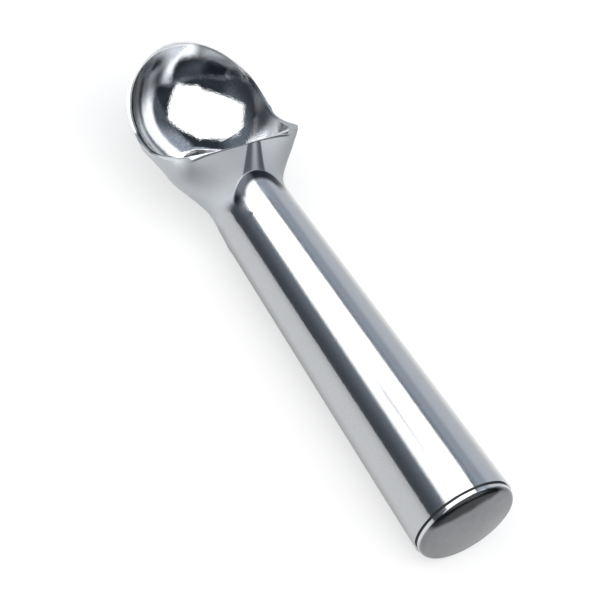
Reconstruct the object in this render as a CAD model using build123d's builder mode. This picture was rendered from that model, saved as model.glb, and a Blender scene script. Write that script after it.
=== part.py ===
from build123d import *
import math
import os

# Sizes in millimetres. X runs along the handle to the bowl, Y to the left, Z up.
# Heights named "rise" or "drop" are measured from the handle's axis, and places
# named "reach" are measured along the axis from the mouth of the handle.

# Handle
butt_radius = 16.0
taper = 0.0317              # radius lost per millimetre of length
bore_wall = 3.0
bore_reach = 116.0          # far end of the blind bore
bore_point = 6.0            # length of its cone-shaped end

# Fan between handle and bowl
fan_reach = 120.5           # where the handle starts to widen
keel_reach = 115.0          # where its underside starts to lift
ear_reach = 139.0
ear_half_width = 23.3
ear_rise = 12.0
crown_rise = 16.0
keel_drop = 8.0
width_lag = 1.4             # over 1 the change comes late, under 1 early
crown_lag = 1.2
keel_lag = 0.6
deck_square = 0.78          # how square the deck's edges are, 0.55 being round
loft_steps = 14

# Bowl
bowl_reach = 153.0
bowl_radius = 25.4
bowl_rise = 15.0
hollow_radius = 24.5
hollow_rise = 15.8
hollow_back = 26.8          # length of the hollow behind its widest ring
hollow_setback = 0.3

# Rim, seen from the side
land_rise = 15.0
land_width = 0.8
land_reach = 133.6
dip_reach = 150.7
dip_rise = 5.35
lip_rise = 14.4
back_slope = 0.65
lip_slope = 0.4

# Back wall of the hollow
wall_plan_radius = 77.0
wall_side_radius = 24.0
wall_blend = 4.0

# Seal and end cap
seat_radius = 13.0
seat_depth = 9.0
spigot_length = 8.0
spigot_lead = 0.5
fit_gap = 0.02
gasket_thick = 0.6
gasket_inset = 0.7
band_radius = 15.5
band_width = 0.95
band_step = 0.15
dome_height = 2.8
dome_edge = 1.5
ring_section = 1.8
ring_gap = 0.01
ring_room = 0.4
ring_reach = 4.0            # middle of the seal ring's groove
ring_sides = 12

# Fill of the handle
fill_level = 7.5            # level of the liquid above the handle's axis
fill_gap = 0.02

cap_length = gasket_thick + band_width + dome_height
bowl_tip_reach = bowl_reach + bowl_radius
mouth_x = cap_length - (cap_length + bowl_tip_reach) / 2
axis_z = butt_radius


def along(reach):
    return mouth_x + reach


def cone_radius(reach):
    return butt_radius - taper * reach


def bore_radius(reach):
    return cone_radius(reach) - bore_wall


def ease(reach, start, end):
    u = min(max((reach - start) / (end - start), 0), 1)
    return u * u * (3 - 2 * u)


def mix(a, b, share):
    return a + (b - a) * share


round_square = 4 * (math.sqrt(2) - 1) / 3


# Half width, widest height, crown height, keel height and squareness of the body at a
# place along the axis: a circle at the handle, a flat-topped bowl section at the ears,
# and the bowl's round section at its middle.
def body_section(reach):
    fan = ease(reach, fan_reach, ear_reach)
    lift = ease(reach, keel_reach, ear_reach)
    swell = ease(reach, ear_reach, bowl_reach)
    cone = cone_radius(reach)
    half = mix(mix(cone, ear_half_width, fan**width_lag), bowl_radius, swell)
    middle = mix(mix(0, ear_rise, fan), bowl_rise, swell)
    crown = mix(cone, crown_rise, fan**crown_lag) + (bowl_rise - ear_rise) * swell
    keel = mix(mix(-cone, -keel_drop, lift**keel_lag), bowl_rise - bowl_radius, swell)
    square = mix(round_square, deck_square, fan)
    return half, middle, crown - middle, middle - keel, square


def section_plane(reach):
    return Plane(origin=(along(reach), 0, axis_z), x_dir=(0, 1, 0), z_dir=(1, 0, 0))


def side_plane():
    return Plane(origin=(mouth_x, 0, axis_z), x_dir=(1, 0, 0), z_dir=(0, -1, 0))


handle_axis = Axis((mouth_x, 0, axis_z), (1, 0, 0))
bore_end = bore_radius(bore_reach - bore_point)
loft_start = keel_reach - (bowl_reach - keel_reach) / loft_steps
stations = [mix(loft_start, bowl_reach, i / loft_steps) for i in range(loft_steps + 1)]
land_end = land_reach + land_width
ear_run = (dip_reach - land_reach) / 3
lip_run = (bowl_tip_reach - dip_reach) / 3

os.makedirs("parts", exist_ok=True)

# Hollow of the bowl: round in front, longer behind, closed by a curved back wall.
with BuildPart() as hollow:
    hollow_reach = bowl_reach - hollow_setback
    with BuildSketch(side_plane()):
        with BuildLine():
            CenterArc((hollow_reach, hollow_rise), hollow_radius, 0, 90)
            EllipticalCenterArc(
                (hollow_reach, hollow_rise), hollow_back, hollow_radius, 90, arc_size=90
            )
            Line(
                (hollow_reach - hollow_back, hollow_rise),
                (hollow_reach + hollow_radius, hollow_rise),
            )
        make_face()
    revolve(axis=Axis((mouth_x, 0, axis_z + hollow_rise), (1, 0, 0)))
    with BuildSketch(side_plane()):
        with Locations((land_end + wall_side_radius, land_rise)):
            Circle(wall_side_radius)
    revolve(axis=Axis((along(land_end + wall_plan_radius), 0, 0), (0, 0, 1)), mode=Mode.INTERSECT)
    fillet(hollow.edges().filter_by(GeomType.BSPLINE), wall_blend)

# Bowl, fan and handle are one casting.
with BuildPart() as scoop_body:
    # tapered handle
    with BuildSketch(side_plane()):
        with BuildLine():
            Polyline(
                (0, 0),
                (loft_start, 0),
                (loft_start, cone_radius(loft_start)),
                (0, butt_radius),
                close=True,
            )
        make_face()
    revolve(axis=handle_axis)

    # fan and back half of the bowl
    for reach in stations:
        half, middle, rise, drop, square = body_section(reach)
        shoulder, flat, top = middle + square * rise, square * half, middle + rise
        with BuildSketch(section_plane(reach)):
            with BuildLine():
                if square > round_square:
                    Bezier((half, middle), (half, shoulder), (flat, top), (0, top))
                    Bezier((0, top), (-flat, top), (-half, shoulder), (-half, middle))
                else:
                    EllipticalCenterArc((0, middle), half, rise, 0, arc_size=90)
                    EllipticalCenterArc((0, middle), half, rise, 90, arc_size=90)
                EllipticalCenterArc((0, middle), half, drop, 180, arc_size=90)
                EllipticalCenterArc((0, middle), half, drop, 270, arc_size=90)
            make_face()
    loft()

    # front half of the bowl
    with BuildSketch(side_plane()):
        with BuildLine():
            CenterArc((bowl_reach, bowl_rise), bowl_radius, 0, 90)
            Polyline(
                (bowl_reach, bowl_rise + bowl_radius),
                (bowl_reach, bowl_rise),
                (bowl_reach + bowl_radius, bowl_rise),
            )
        make_face()
    revolve(axis=Axis((mouth_x, 0, axis_z + bowl_rise), (1, 0, 0)))

    # rim: one curve from the back edge past the ears to the dipped sides and raised lip
    with BuildSketch(side_plane()):
        with BuildLine():
            top = bowl_rise + 2 * bowl_radius
            front = bowl_tip_reach + bowl_radius
            back = land_reach - (top - land_rise) / back_slope
            Line((back, top), (land_reach, land_rise))
            Bezier(
                (land_reach, land_rise),
                (land_reach + ear_run, land_rise - back_slope * ear_run),
                (dip_reach - ear_run, dip_rise),
                (dip_reach, dip_rise),
            )
            Bezier(
                (dip_reach, dip_rise),
                (dip_reach + lip_run, dip_rise),
                (bowl_tip_reach - lip_run, lip_rise - lip_slope * lip_run),
                (bowl_tip_reach, lip_rise),
            )
            Line((bowl_tip_reach, lip_rise), (front, lip_rise + lip_slope * bowl_radius))
            Line((front, lip_rise + lip_slope * bowl_radius), (front, top))
            Line((front, top), (back, top))
        make_face()
    extrude(amount=2 * bowl_radius, both=True, mode=Mode.SUBTRACT)

    # hollow of the bowl
    add(hollow.part, mode=Mode.SUBTRACT)

    # blind bore with a drilled end, and the seat for the plug
    with BuildSketch(side_plane()):
        with BuildLine():
            Line((0, 0), (0, seat_radius))
            Line((0, seat_radius), (seat_depth, seat_radius))
            Line((seat_depth, seat_radius), (seat_depth, bore_radius(seat_depth)))
            Line((seat_depth, bore_radius(seat_depth)), (bore_reach - bore_point, bore_end))
            Line((bore_reach - bore_point, bore_end), (bore_reach, 0))
            Line((bore_reach, 0), (0, 0))
        make_face()
    revolve(axis=handle_axis, mode=Mode.SUBTRACT)
scoop_body.part.label = "scoop_body"
export_step(scoop_body.part, "parts/scoop_body.step")

# The end cap's plug fills the mouth, and its head is turned level with the handle.
with BuildPart() as end_cap:
    head_x = -gasket_thick
    dome_x = head_x - band_width
    spigot_radius = seat_radius - fit_gap
    floor_radius = seat_radius - ring_section - 2 * ring_gap
    groove_half = (ring_section + ring_room) / 2
    # a shallow crown that runs into a tight round at its edge
    flat_radius = band_radius - band_step - dome_edge
    crown_radius = (dome_height**2 + flat_radius**2 - dome_edge**2) / (2 * (dome_height - dome_edge))
    crown_angle = math.degrees(math.atan2(flat_radius, dome_height - crown_radius))
    turn = math.radians(180 - crown_angle)
    edge_x = crown_radius - cap_length - crown_radius * math.cos(turn)
    edge_y = crown_radius * math.sin(turn)
    edge_pull = dome_edge * 4 * math.tan((math.pi / 2 - turn) / 4) / 3
    with BuildSketch(side_plane()):
        with BuildLine():
            Polyline(
                (-cap_length, 0),
                (spigot_length, 0),
                (spigot_length, spigot_radius - spigot_lead),
                (spigot_length - spigot_lead, spigot_radius),
                (ring_reach + groove_half, spigot_radius),
                (ring_reach + groove_half, floor_radius),
                (ring_reach - groove_half, floor_radius),
                (ring_reach - groove_half, spigot_radius),
                (head_x, spigot_radius),
                (head_x, band_radius),
                (dome_x, band_radius),
                (dome_x, band_radius - band_step),
            )
            Bezier(
                (dome_x, band_radius - band_step),
                (dome_x - edge_pull, band_radius - band_step),
                (edge_x + edge_pull * math.sin(turn), edge_y + edge_pull * math.cos(turn)),
                (edge_x, edge_y),
            )
            CenterArc((crown_radius - cap_length, 0), crown_radius, crown_angle, 180 - crown_angle)
        make_face()
    revolve(axis=handle_axis)
end_cap.part.label = "end_cap"
export_step(end_cap.part, "parts/end_cap.step")

# Flat washer between the handle's mouth and the cap's head.
with BuildPart() as cap_gasket:
    with BuildSketch(section_plane(-gasket_thick)):
        Circle(butt_radius - gasket_inset)
        Circle(seat_radius, mode=Mode.SUBTRACT)
    extrude(amount=gasket_thick)
cap_gasket.part.label = "cap_gasket"
export_step(cap_gasket.part, "parts/cap_gasket.step")

# Round seal ring in the plug's groove.
with BuildPart() as plug_o_ring:
    with BuildSketch(side_plane()):
        with Locations((ring_reach, seat_radius - ring_gap - ring_section / 2)):
            RegularPolygon(ring_section / 2, ring_sides)
    revolve(axis=handle_axis)
plug_o_ring.part.label = "plug_o_ring"
export_step(plug_o_ring.part, "parts/plug_o_ring.step")

# Liquid sealed in the handle, with a level air space over it.
with BuildPart() as heat_fluid:
    fill_start = spigot_length + fill_gap
    fill_end = bore_end - fill_gap
    point_start = bore_reach - bore_point
    with BuildSketch(side_plane()):
        with BuildLine():
            Polyline(
                (fill_start, 0),
                (fill_start, bore_radius(seat_depth) - fill_gap),
                (point_start, fill_end),
                (bore_reach - 2 * fill_gap, 0),
                close=True,
            )
        make_face()
    revolve(axis=handle_axis)
    split(bisect_by=Plane.XY.offset(axis_z + fill_level), keep=Keep.BOTTOM)
heat_fluid.part.label = "heat_fluid"
export_step(heat_fluid.part, "parts/heat_fluid.step")
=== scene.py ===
import math
import bpy
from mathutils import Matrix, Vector

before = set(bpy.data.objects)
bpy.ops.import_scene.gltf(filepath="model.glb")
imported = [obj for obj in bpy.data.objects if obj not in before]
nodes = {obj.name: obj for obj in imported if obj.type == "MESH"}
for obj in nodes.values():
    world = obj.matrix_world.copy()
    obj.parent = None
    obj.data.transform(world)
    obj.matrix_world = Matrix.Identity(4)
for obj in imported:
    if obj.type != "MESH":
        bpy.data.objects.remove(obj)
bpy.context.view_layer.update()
print("frame loaded:", ", ".join(sorted(nodes)))


# A node socket that does arithmetic: each operator adds the Math node it stands for.
class Wire:
    def __init__(self, recipe, socket):
        self.recipe = recipe
        self.socket = socket

    def math(self, operation, *others):
        return self.recipe.node("ShaderNodeMath", {"operation": operation}, [self, *others])

    def __add__(self, other):
        return self.math("ADD", other)

    def __sub__(self, other):
        return self.math("SUBTRACT", other)

    def __mul__(self, other):
        return self.math("MULTIPLY", other)

    def __truediv__(self, other):
        return self.math("DIVIDE", other)

    def __rsub__(self, other):
        return self.recipe.node("ShaderNodeMath", {"operation": "SUBTRACT"}, [other, self])

    __radd__ = __add__
    __rmul__ = __mul__


# The node tree of one material or world, and the nodes that are made in it.
class Recipe:
    def __init__(self, tree):
        self.tree = tree
        tree.nodes.clear()

    # any node: its settings come first, then the values or links of its sockets
    def node(self, kind, settings=None, inputs=None, output=0):
        made = self.tree.nodes.new(kind)
        for key, value in (settings or {}).items():
            if key == "stops":
                ramp = made.color_ramp
                while len(ramp.elements) < len(value):
                    ramp.elements.new(0.5)
                for stop, (place, shade) in zip(ramp.elements, value):
                    stop.position = place
                    stop.color = (*shade, 1.0)
            else:
                setattr(made, key, value)
        pairs = inputs.items() if isinstance(inputs, dict) else enumerate(inputs or [])
        for name, value in pairs:
            socket = made.inputs[name]
            if isinstance(value, Wire):
                self.tree.links.new(value.socket, socket)
            elif value is not None:
                socket.default_value = value
        return Wire(self, made.outputs[output]) if made.outputs else None

    def coords(self):
        return self.node("ShaderNodeTexCoord", output="Object")

    def axes(self, vector):
        split = self.node("ShaderNodeSeparateXYZ", inputs=[vector])
        outs = split.socket.node.outputs
        return [Wire(self, outs[i]) for i in range(3)]

    # a fade is (start, end): the band is 0 before its start, 1 past its end and smooth between
    def band(self, value, fade):
        return self.node(
            "ShaderNodeMapRange",
            {"interpolation_type": "SMOOTHSTEP", "clamp": True},
            {"Value": value, "From Min": fade[0], "From Max": fade[1]},
        )

    def noise(self, vector, scale, detail):
        return self.node("ShaderNodeTexNoise", None, {"Vector": vector, "Scale": scale, "Detail": detail})

    # a noise lies about 0.5, so its swing adds as much as it takes away
    def swing(self, noise, reach):
        return (noise - 0.5) * reach

    # how far a vector reaches along a fixed direction
    def along(self, vector, direction):
        return self.node(
            "ShaderNodeVectorMath", {"operation": "DOT_PRODUCT"}, [vector, tuple(direction)], output="Value"
        )

    def stretch(self, vector, scale):
        return self.node("ShaderNodeMapping", {"vector_type": "POINT"}, {"Vector": vector, "Scale": scale})

    # a Mix node has sockets of one name for each kind of data, so these two go by number
    def blend(self, share, first, second):
        return self.node(
            "ShaderNodeMix",
            {"data_type": "RGBA"},
            {"Factor": share, 6: self.rgba(first), 7: self.rgba(second)},
            output=2,
        )

    def blendVectors(self, share, first, second):
        return self.node(
            "ShaderNodeMix", {"data_type": "VECTOR"}, {"Factor": share, 4: first, 5: second}, output=1
        )

    def rgba(self, colour):
        return colour if isinstance(colour, Wire) else (*colour, 1.0)

    def bump(self, height, strength, distance, normal=None):
        return self.node(
            "ShaderNodeBump",
            None,
            {"Height": height, "Strength": strength, "Distance": distance, "Normal": normal},
        )

    def metal(self, colour, rough, normal):
        return self.node(
            "ShaderNodeBsdfPrincipled",
            None,
            {"Base Color": colour, "Metallic": 1.0, "Roughness": rough, "Normal": normal},
        )

    def close(self, shader, kind="ShaderNodeOutputMaterial"):
        self.node(kind, None, {"Surface": shader})


def newRecipe(name):
    material = bpy.data.materials.new(name)
    material.use_nodes = True
    return material, Recipe(material.node_tree)


def dress(nodeName, material):
    shape = nodes[nodeName]
    for place in shape.material_slots:
        place.material = material


def deselectAll():
    bpy.ops.object.select_all(action="DESELECT")


# The casting's finishes are set by places in metres: x runs from the butt to the bowl's lip,
# y to the left and z up. A pair is a fade, along the axis that ends its name or over an edge.
bowl = {"centre": (0.0657, 0.0, 0.0318), "radius": 0.0245, "backX": 0.0472, "skin": 0.0004}


# the inner faces of the bowl
def bowlMask(r, x, y, z):
    dx = x - bowl["centre"][0]
    dz = z - bowl["centre"][2]
    fromCentre = (dx * dx + y * y + dz * dz).math("SQRT")
    wall = bowl["radius"] + bowl["skin"]
    within = 1 - r.band(fromCentre, (wall, wall + bowl["skin"]))
    return within * r.band(x, (bowl["backX"], bowl["backX"] + bowl["skin"]))


# on top the handle's polish ends in a rounded nose, with a painted dark reflection as a ring round it
nose = {
    "x": 0.031,
    "y": 0.0008,
    "narrow": 0.894,
    "ringStart": (0.0038, 0.0054),
    "ringEnd": (0.0073, 0.0081),
    "ringX": (0.029, 0.033),
    "tipX": (0.026, 0.030),
    "topZ": (0.018, 0.022),
}


# the polished top up to the ring's outer edge, the ring of painted dark reflection, and the nose's own tip
def noseMasks(r, x, y, z):
    ahead = (x - nose["x"]).math("MAXIMUM", 0.0)
    aside = (y - nose["y"]) * nose["narrow"]
    fromNose = (ahead * ahead + aside * aside).math("SQRT")
    polished = r.band(z, nose["topZ"]) * (1 - r.band(fromNose, nose["ringEnd"]))
    paintedRing = r.band(fromNose, nose["ringStart"]) * polished * r.band(x, nose["ringX"])
    tip = polished * r.band(x, nose["tipX"])
    return polished, paintedRing, tip


# satin covers the neck and reaches further on the ears; its tone is painted shade that evens out the light:
# darkest on top, paler on the right, and palest low down and on the left flank
satinNeck = {
    "startX": (0.030, 0.036),
    "endX": (0.047, 0.055),
    "earY": (0.0180, 0.0225),
    "earZ": (0.012, 0.018),
    "earReach": 0.007,
    "toneZ": (0.019, 0.029),
    "leftY": (0.0175, 0.0220),
    "rightY": (-0.012, 0.002),
    # painted tones against the light: palest low down, darkest on top, middling on the right
    "low": (0.62, 0.64, 0.66),
    "top": (0.275, 0.284, 0.295),
    "right": (0.40, 0.413, 0.427),
}


def satinMask(r, x, y, z):
    onEar = r.band(y.math("ABSOLUTE"), satinNeck["earY"]) * r.band(z, satinNeck["earZ"])
    ended = r.band(x - onEar * satinNeck["earReach"], satinNeck["endX"])
    return r.band(x, satinNeck["startX"]) * (1 - ended)


def satinPaintedShade(r, y, z):
    onTop = r.band(z, satinNeck["toneZ"]) * (1 - r.band(y, satinNeck["leftY"]))
    tone = r.blend(onTop, satinNeck["low"], satinNeck["top"])
    return r.blend(r.band(y, satinNeck["rightY"]), satinNeck["right"], tone)


# a painted dark reflection, a streak with a paler core, runs aslant from the nose to the bowl, and widens
# to the nose
streak = {
    "x": 0.0463,
    "y": -0.0039,
    "lean": 0.5,
    "half": 0.0025,
    "spread": 0.2,
    "edge": (0.85, 1.05),
    "coreShift": 0.1,
    "coreEdge": (0.0, 0.55),
    "coreShare": 0.8,
    "deckZ": (0.024, 0.026),
    "endX": (0.0478, 0.0482),
}


def streakMask(r, x, y, z):
    back = streak["x"] - x
    middle = streak["y"] + back * streak["lean"]
    half = streak["half"] + back * streak["spread"]
    aslant = (y - middle) / half
    line = 1 - r.band(aslant.math("ABSOLUTE"), streak["edge"])
    core = 1 - r.band((aslant + streak["coreShift"]).math("ABSOLUTE"), streak["coreEdge"])
    onDeck = r.band(z, streak["deckZ"]) * (1 - r.band(x, streak["endX"]))
    return line * onDeck * (1 - core * streak["coreShare"])


# a painted dark reflection along the edge where the deck meets the bowl
paintedEdgeShade = {"startX": (0.0466, 0.0468), "endX": (0.0471, 0.0473), "deckZ": (0.0290, 0.0298)}


def paintedEdgeShadeMask(r, x, z):
    return r.band(x, paintedEdgeShade["startX"]) * (1 - r.band(x, paintedEdgeShade["endX"])) * r.band(z, paintedEdgeShade["deckZ"])


# painted reflections in the bowl: a painted bright reflection low on the left, and painted dark reflections
# high on the left, on the right and ahead
bowlPaintedReflections = {
    "highZ": (0.0145, 0.0205),
    "paintedBrightY": (0.0080, 0.0100),
    "slantX": 0.0658,
    "slantSlope": 0.57,
    "slantEdge": (0.0008, 0.0052),
    "leftY": (-0.002, 0.005),
    "leftRimZ": (0.0260, 0.0300),
    "leftRimShare": 0.6,
    "rightY": (-0.0205, -0.0165),
    "rightX": (0.055, 0.063),
    "rightFarX": (0.064, 0.070),
    "rightFarShare": 0.5,
    "aheadY": (-0.0100, -0.0060),
    "aheadZ": (0.0225, 0.0260),
    "aheadX": (0.074, 0.082),
}


def paintedReflectionMasks(r, x, y, z):
    high = r.band(z, bowlPaintedReflections["highZ"])
    slant = y - (x - bowlPaintedReflections["slantX"]) * bowlPaintedReflections["slantSlope"]
    clear = r.band(y, bowlPaintedReflections["paintedBrightY"]).math("MAXIMUM", r.band(slant, bowlPaintedReflections["slantEdge"]))
    left = high * r.band(y, bowlPaintedReflections["leftY"])
    left = left * (1 - r.band(z, bowlPaintedReflections["leftRimZ"]) * bowlPaintedReflections["leftRimShare"])
    right = (1 - r.band(y, bowlPaintedReflections["rightY"])) * r.band(x, bowlPaintedReflections["rightX"])
    right = right * (1 - r.band(x, bowlPaintedReflections["rightFarX"]) * bowlPaintedReflections["rightFarShare"])
    ahead = (1 - r.band(y, bowlPaintedReflections["aheadY"])) * r.band(z, bowlPaintedReflections["aheadZ"])
    ahead = ahead * r.band(x, bowlPaintedReflections["aheadX"])
    paintedDark = left.math("MAXIMUM", right).math("MAXIMUM", ahead)
    return clear * (1 - high), paintedDark


castMetal = {
    "low": (0.455, 0.465, 0.48),
    "high": (0.475, 0.485, 0.50),
    # painted dark reflection of the streak on the neck
    "streak": (0.075, 0.08, 0.09),
    # painted dark reflection of the ring round the nose
    "paintedRingTone": (0.035, 0.038, 0.045),
    # painted dark reflection along the deck's edge at the bowl
    "paintedEdgeShade": (0.10, 0.11, 0.12),
    "fleck": (0.85, 0.86, 0.88),
    # painted bright and dark reflections inside the bowl
    "clear": (0.80, 0.81, 0.83),
    "paintedDark": (0.10, 0.105, 0.112),
    "roughHandle": 0.11,
    "roughBowl": 0.035,
    "roughNeck": 0.80,
    "roughTip": 0.19,
    "roughCloud": 0.03,
    "roughDrawn": 0.04,
    "speckleScale": 2300.0,
    "cloudScale": 90.0,
    "drawnScale": (40.0, 1500.0, 1500.0),
    "grain": 0.05,
    "grainDepth": 0.0002,
    "grainInBowl": 1.2,
    "fleckEdge": (0.50, 0.66),
    "fleckShare": 0.06,
    "fleckInBowl": 0.28,
}


# Polished cast metal: a mirror on the handle, a finer one with grain and light flecks inside
# the bowl, and satin on the neck and ears between them.
def polishedCast():
    material, r = newRecipe("polishedCast")
    place = r.coords()
    x, y, z = r.axes(place)
    inside = bowlMask(r, x, y, z)
    polished, paintedRing, tip = noseMasks(r, x, y, z)
    satin = satinMask(r, x, y, z) * (1 - polished) * (1 - inside)
    # the streak's painted dark reflection, on the satin only
    paintedStreak = streakMask(r, x, y, z) * satin
    # masks of the bowl's painted bright and painted dark reflections
    clear, paintedDark = paintedReflectionMasks(r, x, y, z)
    speckle = r.noise(place, castMetal["speckleScale"], detail=1.0)
    cloud = r.noise(place, castMetal["cloudScale"], detail=3.0)
    drawn = r.noise(r.stretch(place, castMetal["drawnScale"]), 1.0, detail=2.0)
    rough = (
        castMetal["roughHandle"]
        + inside * (castMetal["roughBowl"] - castMetal["roughHandle"])
        + satin * (castMetal["roughNeck"] - castMetal["roughHandle"])
        + tip * (castMetal["roughTip"] - castMetal["roughHandle"])
        + r.swing(cloud, castMetal["roughCloud"])
        + r.swing(drawn, castMetal["roughDrawn"]) * (1 - inside)
    )
    height = speckle * (1 + inside * castMetal["grainInBowl"])
    grain = r.bump(height, castMetal["grain"], castMetal["grainDepth"])
    fleckShare = inside * castMetal["fleckInBowl"] + castMetal["fleckShare"]
    flecks = r.band(speckle, castMetal["fleckEdge"]) * fleckShare * (1 - satin) * (1 - paintedRing)
    tint = r.blend(cloud, castMetal["low"], castMetal["high"])
    # the layers below paint light and shade: the satin's tone, the streak, the ring, the edge line and the
    # bowl's bright and dark patches; only the flecks are the metal's own
    layers = [
        (satin, satinPaintedShade(r, y, z)),
        (paintedStreak, castMetal["streak"]),
        (paintedRing, castMetal["paintedRingTone"]),
        (paintedEdgeShadeMask(r, x, z), castMetal["paintedEdgeShade"]),
        (flecks, castMetal["fleck"]),
        (inside * clear, castMetal["clear"]),
        (inside * paintedDark, castMetal["paintedDark"]),
    ]
    for share, colour in layers:
        tint = r.blend(share, tint, colour)
    r.close(r.metal(tint, rough, grain))
    return material


capMetal = {
    "axisZ": 0.016,
    "bandX": (-0.08875, -0.08865),
    "low": (0.165, 0.17, 0.178),
    "high": (0.235, 0.24, 0.25),
    # painted dark reflection high on the dome
    "paintedDarkPatch": (0.032, 0.033, 0.036),
    "band": (0.6, 0.61, 0.62),
    "roughDome": 0.26,
    "roughBand": 0.09,
    "roughCloud": 0.06,
    "cloudScale": 260.0,
    "ringScale": 2500.0,
    "ringEdge": (0.0020, 0.0045),
    "ringBump": 0.12,
    "ringDepth": 0.00005,
    "poleEdge": (0.00160, 0.00185),
    "paintedPatchLean": 0.42,
    "paintedPatchRagged": 0.002,
    "paintedPatchEdge": (0.0100, 0.0124),
}


# Satin dome with faint turning rings and a painted dark reflection high up, and a bright band at its edge.
def satinCap():
    material, r = newRecipe("satinCap")
    place = r.coords()
    x, y, z = r.axes(place)
    up = z - capMetal["axisZ"]
    fromAxis = (y * y + up * up).math("SQRT")
    band = r.band(x, capMetal["bandX"])
    rings = r.node("ShaderNodeCombineXYZ", None, {"X": fromAxis * capMetal["ringScale"]})
    rings = r.noise(rings, 1.0, detail=1.0) * r.band(fromAxis, capMetal["ringEdge"])
    cloud = r.noise(place, capMetal["cloudScale"], detail=3.0)
    rough = (
        capMetal["roughDome"]
        + band * (capMetal["roughBand"] - capMetal["roughDome"])
        + r.swing(cloud, capMetal["roughCloud"])
    )
    # the dome's pole carries one slanted corner normal, so the facets' own normals serve there
    smooth = r.node("ShaderNodeNewGeometry", output="Normal")
    facet = r.node("ShaderNodeNewGeometry", output="True Normal")
    steady = r.blendVectors(1 - r.band(fromAxis, capMetal["poleEdge"]), smooth, facet)
    turned = r.bump(rings, capMetal["ringBump"], capMetal["ringDepth"], steady)
    # a slanted, ragged painted dark reflection high on the dome
    slope = up + y * capMetal["paintedPatchLean"] + r.swing(cloud, capMetal["paintedPatchRagged"])
    paintedDarkPatch = r.band(slope, capMetal["paintedPatchEdge"]) * (1 - band)
    tint = r.blend(cloud, capMetal["low"], capMetal["high"])
    tint = r.blend(paintedDarkPatch, tint, capMetal["paintedDarkPatch"])
    tint = r.blend(band, tint, capMetal["band"])
    r.close(r.metal(tint, rough, turned))
    return material


# the seals and the filling have one plain stuff each, with a faint cloud in tone and shine
plainPieces = {
    "cap_gasket": {
        "stuff": "sealBlack",
        "low": (0.012, 0.012, 0.014),
        "high": (0.03, 0.03, 0.032),
        "rough": 0.55,
        "cloudScale": 900.0,
    },
    "plug_o_ring": {
        "stuff": "ringRubber",
        "low": (0.02, 0.02, 0.02),
        "high": (0.035, 0.035, 0.035),
        "rough": 0.5,
        "cloudScale": 900.0,
    },
    "heat_fluid": {
        "stuff": "fillLiquid",
        "low": (0.72, 0.58, 0.25),
        "high": (0.80, 0.68, 0.34),
        "rough": 0.15,
        "cloudScale": 120.0,
    },
}
roughSwing = 0.1


def plainStuff(settings):
    material, r = newRecipe(settings["stuff"])
    cloud = r.noise(r.coords(), settings["cloudScale"], detail=4.0)
    tint = r.blend(cloud, settings["low"], settings["high"])
    rough = settings["rough"] + r.swing(cloud, roughSwing)
    r.close(r.node("ShaderNodeBsdfPrincipled", None, {"Base Color": tint, "Roughness": rough}))
    return material


dress("scoop_body", polishedCast())
dress("end_cap", satinCap())
for nodeName, settings in plainPieces.items():
    dress(nodeName, plainStuff(settings))
print("materials on the five nodes")


# The studio's air, told by direction: a white softbox overhead with four sides, a dark
# room on the left that pales towards the softbox, and a pale wall on the right.
air = {
    "softboxCorners": [(0.23, 2.40, 1.0), (0.863, 0.765, 1.0), (-0.44, -1.05, 1.0), (-2.73, -0.94, 1.0)],
    "softbox": (2.35, 2.35, 2.35),
    "soften": 0.03,
    "dark": (0.050, 0.060, 0.075),
    "left": (0.50, 0.866, 0.0),
    "leftEdge": (0.30, 0.60),
    "leftFoot": (0.10, 0.11, 0.13),
    "leftTop": (0.24, 0.28, 0.33),
    "leftRise": (0.15, 0.65),
    "right": (0.42, -0.907, 0.0),
    "rightEdge": (0.46, 0.52),
    "rearRight": (0.15, 0.17, 0.20),
    "rearEdge": (-0.20, 0.15),
    "wallTones": [
        (0.48, (0.06, 0.07, 0.085)),
        (0.56, (0.50, 0.57, 0.66)),
        (0.68, (0.56, 0.63, 0.72)),
        (0.80, (0.50, 0.56, 0.64)),
        (0.89, (0.80, 0.85, 0.92)),
        (1.00, (0.84, 0.88, 0.94)),
    ],
}


def buildAir():
    world = bpy.data.worlds.new("studioAir")
    bpy.context.scene.world = world
    world.use_nodes = True
    r = Recipe(world.node_tree)
    toward = r.node("ShaderNodeTexCoord", output="Generated")
    x, _, z = r.axes(toward)
    corners = air["softboxCorners"]
    inBox = None
    for here, there in zip(corners, corners[1:] + corners[:1]):
        side = Vector(there).cross(Vector(here)).normalized()
        edge = r.band(r.along(toward, side), (-air["soften"], air["soften"]))
        inBox = edge if inBox is None else inBox * edge
    onLeft = r.band(r.along(toward, air["left"]), air["leftEdge"])
    leftTone = r.blend(r.band(z, air["leftRise"]), air["leftFoot"], air["leftTop"])
    tone = r.blend(onLeft, air["dark"], leftTone)
    rightward = r.along(toward, air["right"])
    wall = r.node("ShaderNodeValToRGB", {"stops": air["wallTones"]}, [rightward])
    rightTone = r.blend(r.band(x, air["rearEdge"]), air["rearRight"], wall)
    tone = r.blend(r.band(rightward, air["rightEdge"]), tone, rightTone)
    tone = r.blend(inBox, tone, air["softbox"])
    r.close(r.node("ShaderNodeBackground", None, {"Color": tone, "Strength": 1.0}), "ShaderNodeOutputWorld")


# Two lamps hung low over the part, which reach only its shine: a strip that makes the
# long white highlight, and a short one beside it that fills the highlight's upper end.
lamps = {
    "stripLamp": {"middle": (0.012, 0.002, 0.100), "length": 0.160, "width": 0.054, "power": 0.0760},
    "sideLamp": {"middle": (0.048, 0.0465, 0.100), "length": 0.096, "width": 0.035, "power": 0.0295},
}


def hangLamp(name, settings):
    data = bpy.data.lights.new(name, "AREA")
    data.shape = "RECTANGLE"
    data.size = settings["length"]
    data.size_y = settings["width"]
    data.energy = settings["power"]
    shape = bpy.data.objects.new(name, data)
    shape.location = settings["middle"]
    shape.visible_camera = False
    shape.visible_diffuse = False
    bpy.context.scene.collection.objects.link(shape)
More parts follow.
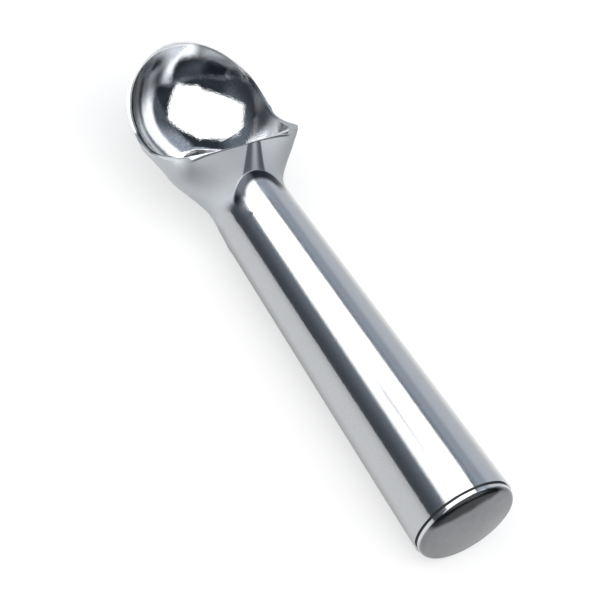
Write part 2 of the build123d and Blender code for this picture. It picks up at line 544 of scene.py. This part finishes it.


# the floor glows white to the eye; for the metal's mirror its glow is painted: brightest beside the part,
# duller far off, and a painted shadow underneath where the part stands
floorGlow = {
    "size": 6.0,
    "plain": (0.35, 0.35, 0.35),
    "seen": 0.62,
    "beside": 0.66,
    "farDrop": 0.22,
    "farY": (0.02, 0.25),
    "shadeDrop": 0.42,
    "shadeY": (0.007, 0.024),
    "shadeX": (0.072, 0.100),
}


def buildStage():
    deselectAll()
    bpy.ops.mesh.primitive_plane_add(size=floorGlow["size"], location=(0, 0, 0))
    floor = bpy.context.object
    floor.name = "floor"
    material, r = newRecipe("paleFloor")
    rays = r.node("ShaderNodeLightPath").socket.node.outputs
    eye, mirror, through = [Wire(r, rays[f"Is {ray} Ray"]) for ray in ("Camera", "Glossy", "Transmission")]
    x, y, _ = r.axes(r.coords())
    fromMiddle = y.math("ABSOLUTE")
    # painted shadow under the part, seen only in the metal's mirror
    shade = 1 - r.band(fromMiddle, floorGlow["shadeY"])
    shade = shade * (1 - r.band(x.math("ABSOLUTE"), floorGlow["shadeX"]))
    far = r.band(fromMiddle, floorGlow["farY"])
    mirrored = floorGlow["beside"] - far * floorGlow["farDrop"] - shade * floorGlow["shadeDrop"]
    glow = eye.math("MAXIMUM", through) * floorGlow["seen"] + mirror * mirrored
    plain = r.node("ShaderNodeBsdfDiffuse", None, {"Color": r.rgba(floorGlow["plain"])})
    white = r.node("ShaderNodeEmission", None, {"Color": (1, 1, 1, 1), "Strength": glow})
    r.close(r.node("ShaderNodeAddShader", None, [plain, white]))
    floor.data.materials.append(material)


# the camera stands behind the butt, up and to the left, and is rolled a little
camera = {
    "place": (-0.4076, 0.4433, 0.6665),
    "turn": (40.533, -14.366, -121.089),
    "lens": 180.0,
    "sensor": 36.0,
    "clipStart": 0.01,
}


def buildCamera():
    data = bpy.data.cameras.new("viewCamera")
    data.lens = camera["lens"]
    data.sensor_width = camera["sensor"]
    data.clip_start = camera["clipStart"]
    shape = bpy.data.objects.new("viewCamera", data)
    shape.location = camera["place"]
    shape.rotation_euler = [math.radians(a) for a in camera["turn"]]
    bpy.context.scene.collection.objects.link(shape)
    bpy.context.scene.camera = shape


buildStage()
buildAir()
buildCamera()
for lampName, lampSettings in lamps.items():
    hangLamp(lampName, lampSettings)
bpy.context.scene.view_settings.view_transform = "Standard"
print("stage, camera and lamps set")
